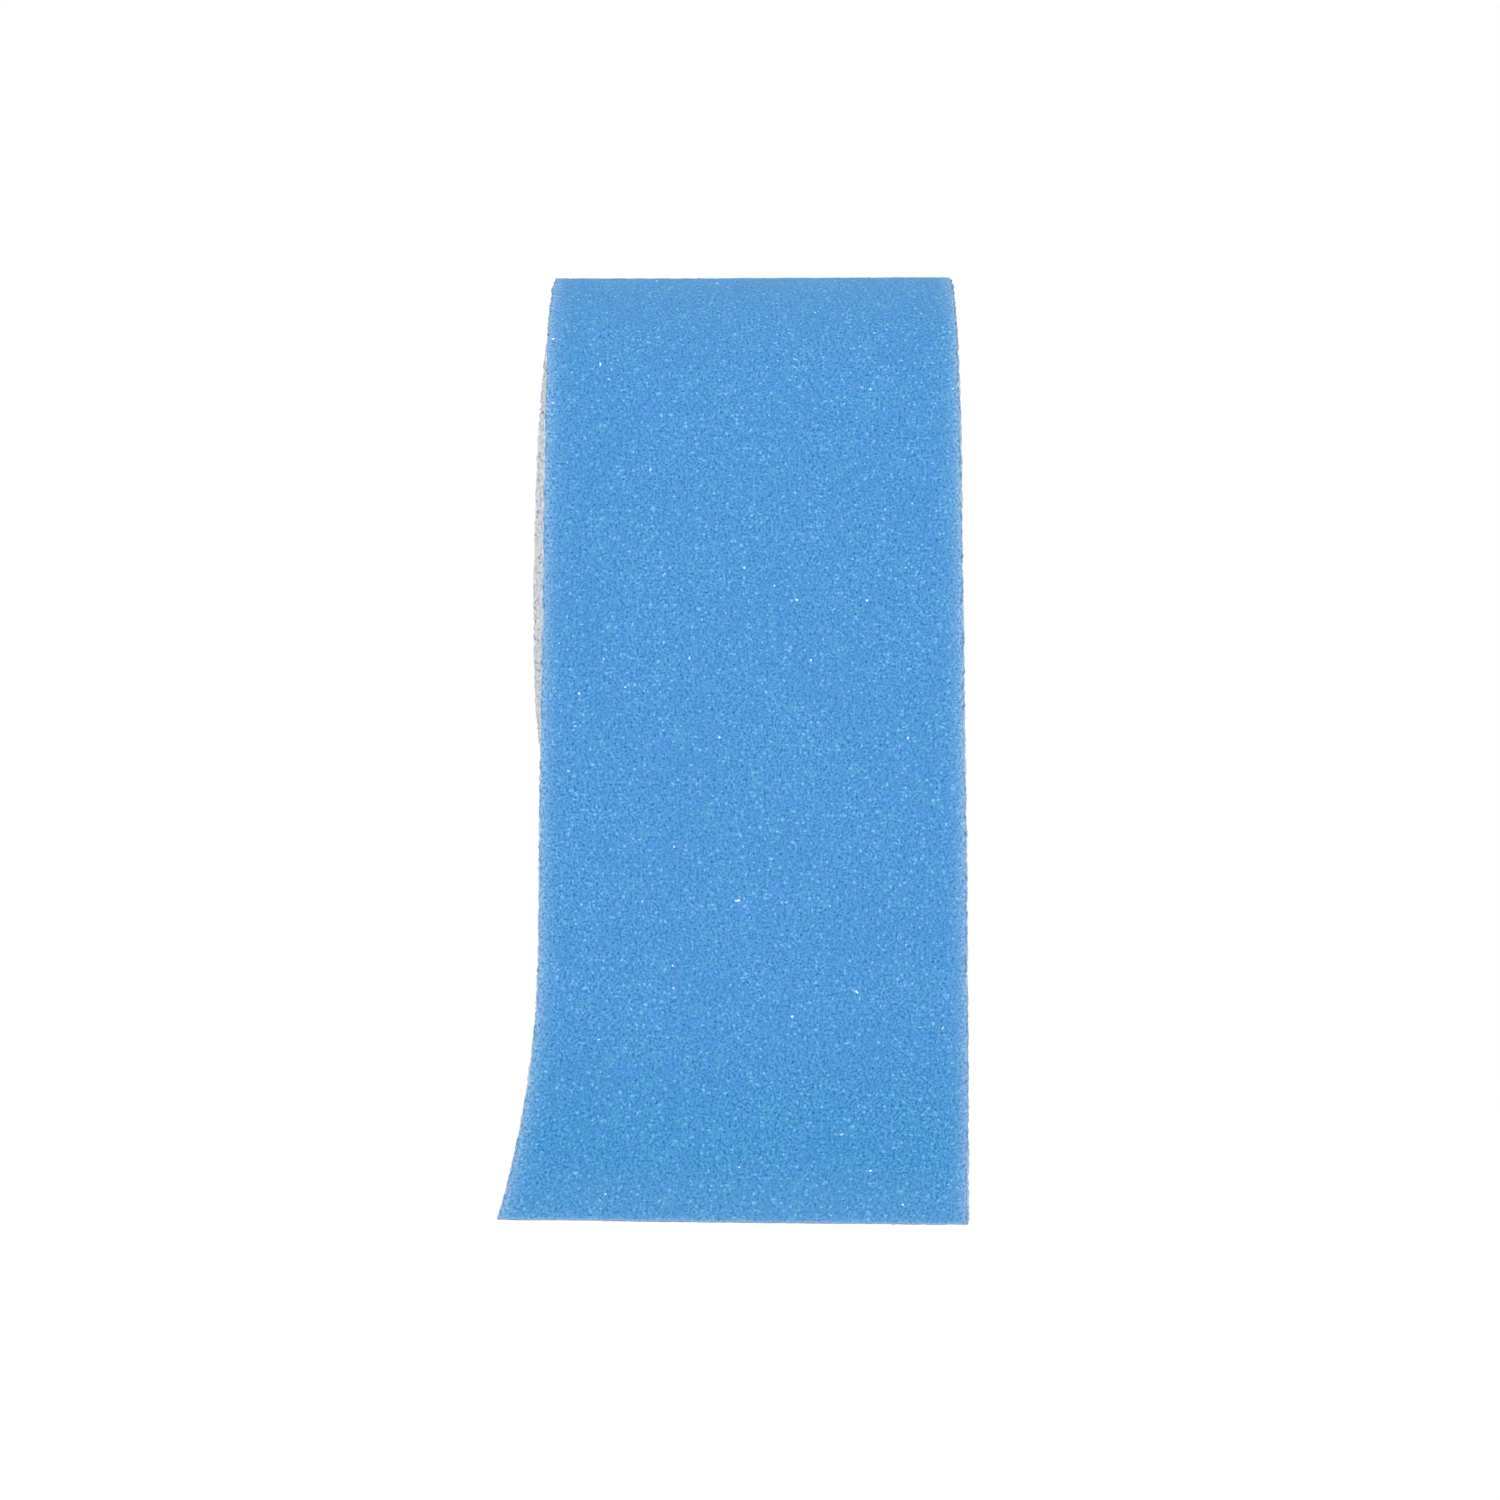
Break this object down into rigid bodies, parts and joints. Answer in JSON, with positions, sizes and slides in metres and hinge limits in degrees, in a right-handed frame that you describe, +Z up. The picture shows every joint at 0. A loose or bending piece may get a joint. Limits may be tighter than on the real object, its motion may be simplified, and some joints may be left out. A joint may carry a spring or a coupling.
{
  "type": "grip tape roll",
  "caption": "Coreless roll of dry racket grip tape, grained blue grip face on white backing cloth, with its free end hanging down ready to lift and wind on a handle.",
  "frame": {"origin": "centre of the eye, the hole through the roll, midway along its width", "axes": "+X along the roll's axis, -Y to the front where the free end hangs, +Z up"},
  "size_m": [0.0318, 0.0418, 0.0668],
  "materials": {
    "grip_face": "matt, finely grained, dry to the touch",
    "backing_cloth": "matt non-woven cloth",
    "adhesive": "translucent double-sided film",
    "release_paper": "smooth siliconised paper"
  },
  "bodies": {
    "coil": {"core_wraps_grip_face": "grip_face", "core_wraps_backing_cloth": "backing_cloth", "inner_wraps_grip_face": "grip_face", "inner_wraps_backing_cloth": "backing_cloth", "middle_wraps_grip_face": "grip_face", "middle_wraps_backing_cloth": "backing_cloth", "outer_wraps_grip_face": "grip_face", "outer_wraps_backing_cloth": "backing_cloth", "loose_wrap_grip_face": "grip_face", "loose_wrap_backing_cloth": "backing_cloth", "starter_adhesive": "adhesive", "release_paper": "release_paper"},
    "tail": {"tail_grip_face": "grip_face", "tail_backing_cloth": "backing_cloth"},
    "tip": {"tip_grip_face": "grip_face", "tip_backing_cloth": "backing_cloth"}
  },
  "joints": [
    {"name": "tail_lift", "type": "hinge", "parent": "coil", "child": "tail", "pos_m": [0, -0.01607, 0.00351], "axis": [-1, 0, 0], "range_deg": [0, 60], "stiffness_Nm_per_rad": 0.0004},
    {"name": "tip_curl", "type": "hinge", "parent": "tail", "child": "tip", "pos_m": [0, -0.02102, -0.01793], "axis": [-1, 0, 0], "range_deg": [-60, 60], "stiffness_Nm_per_rad": 0.0004}
  ]
}
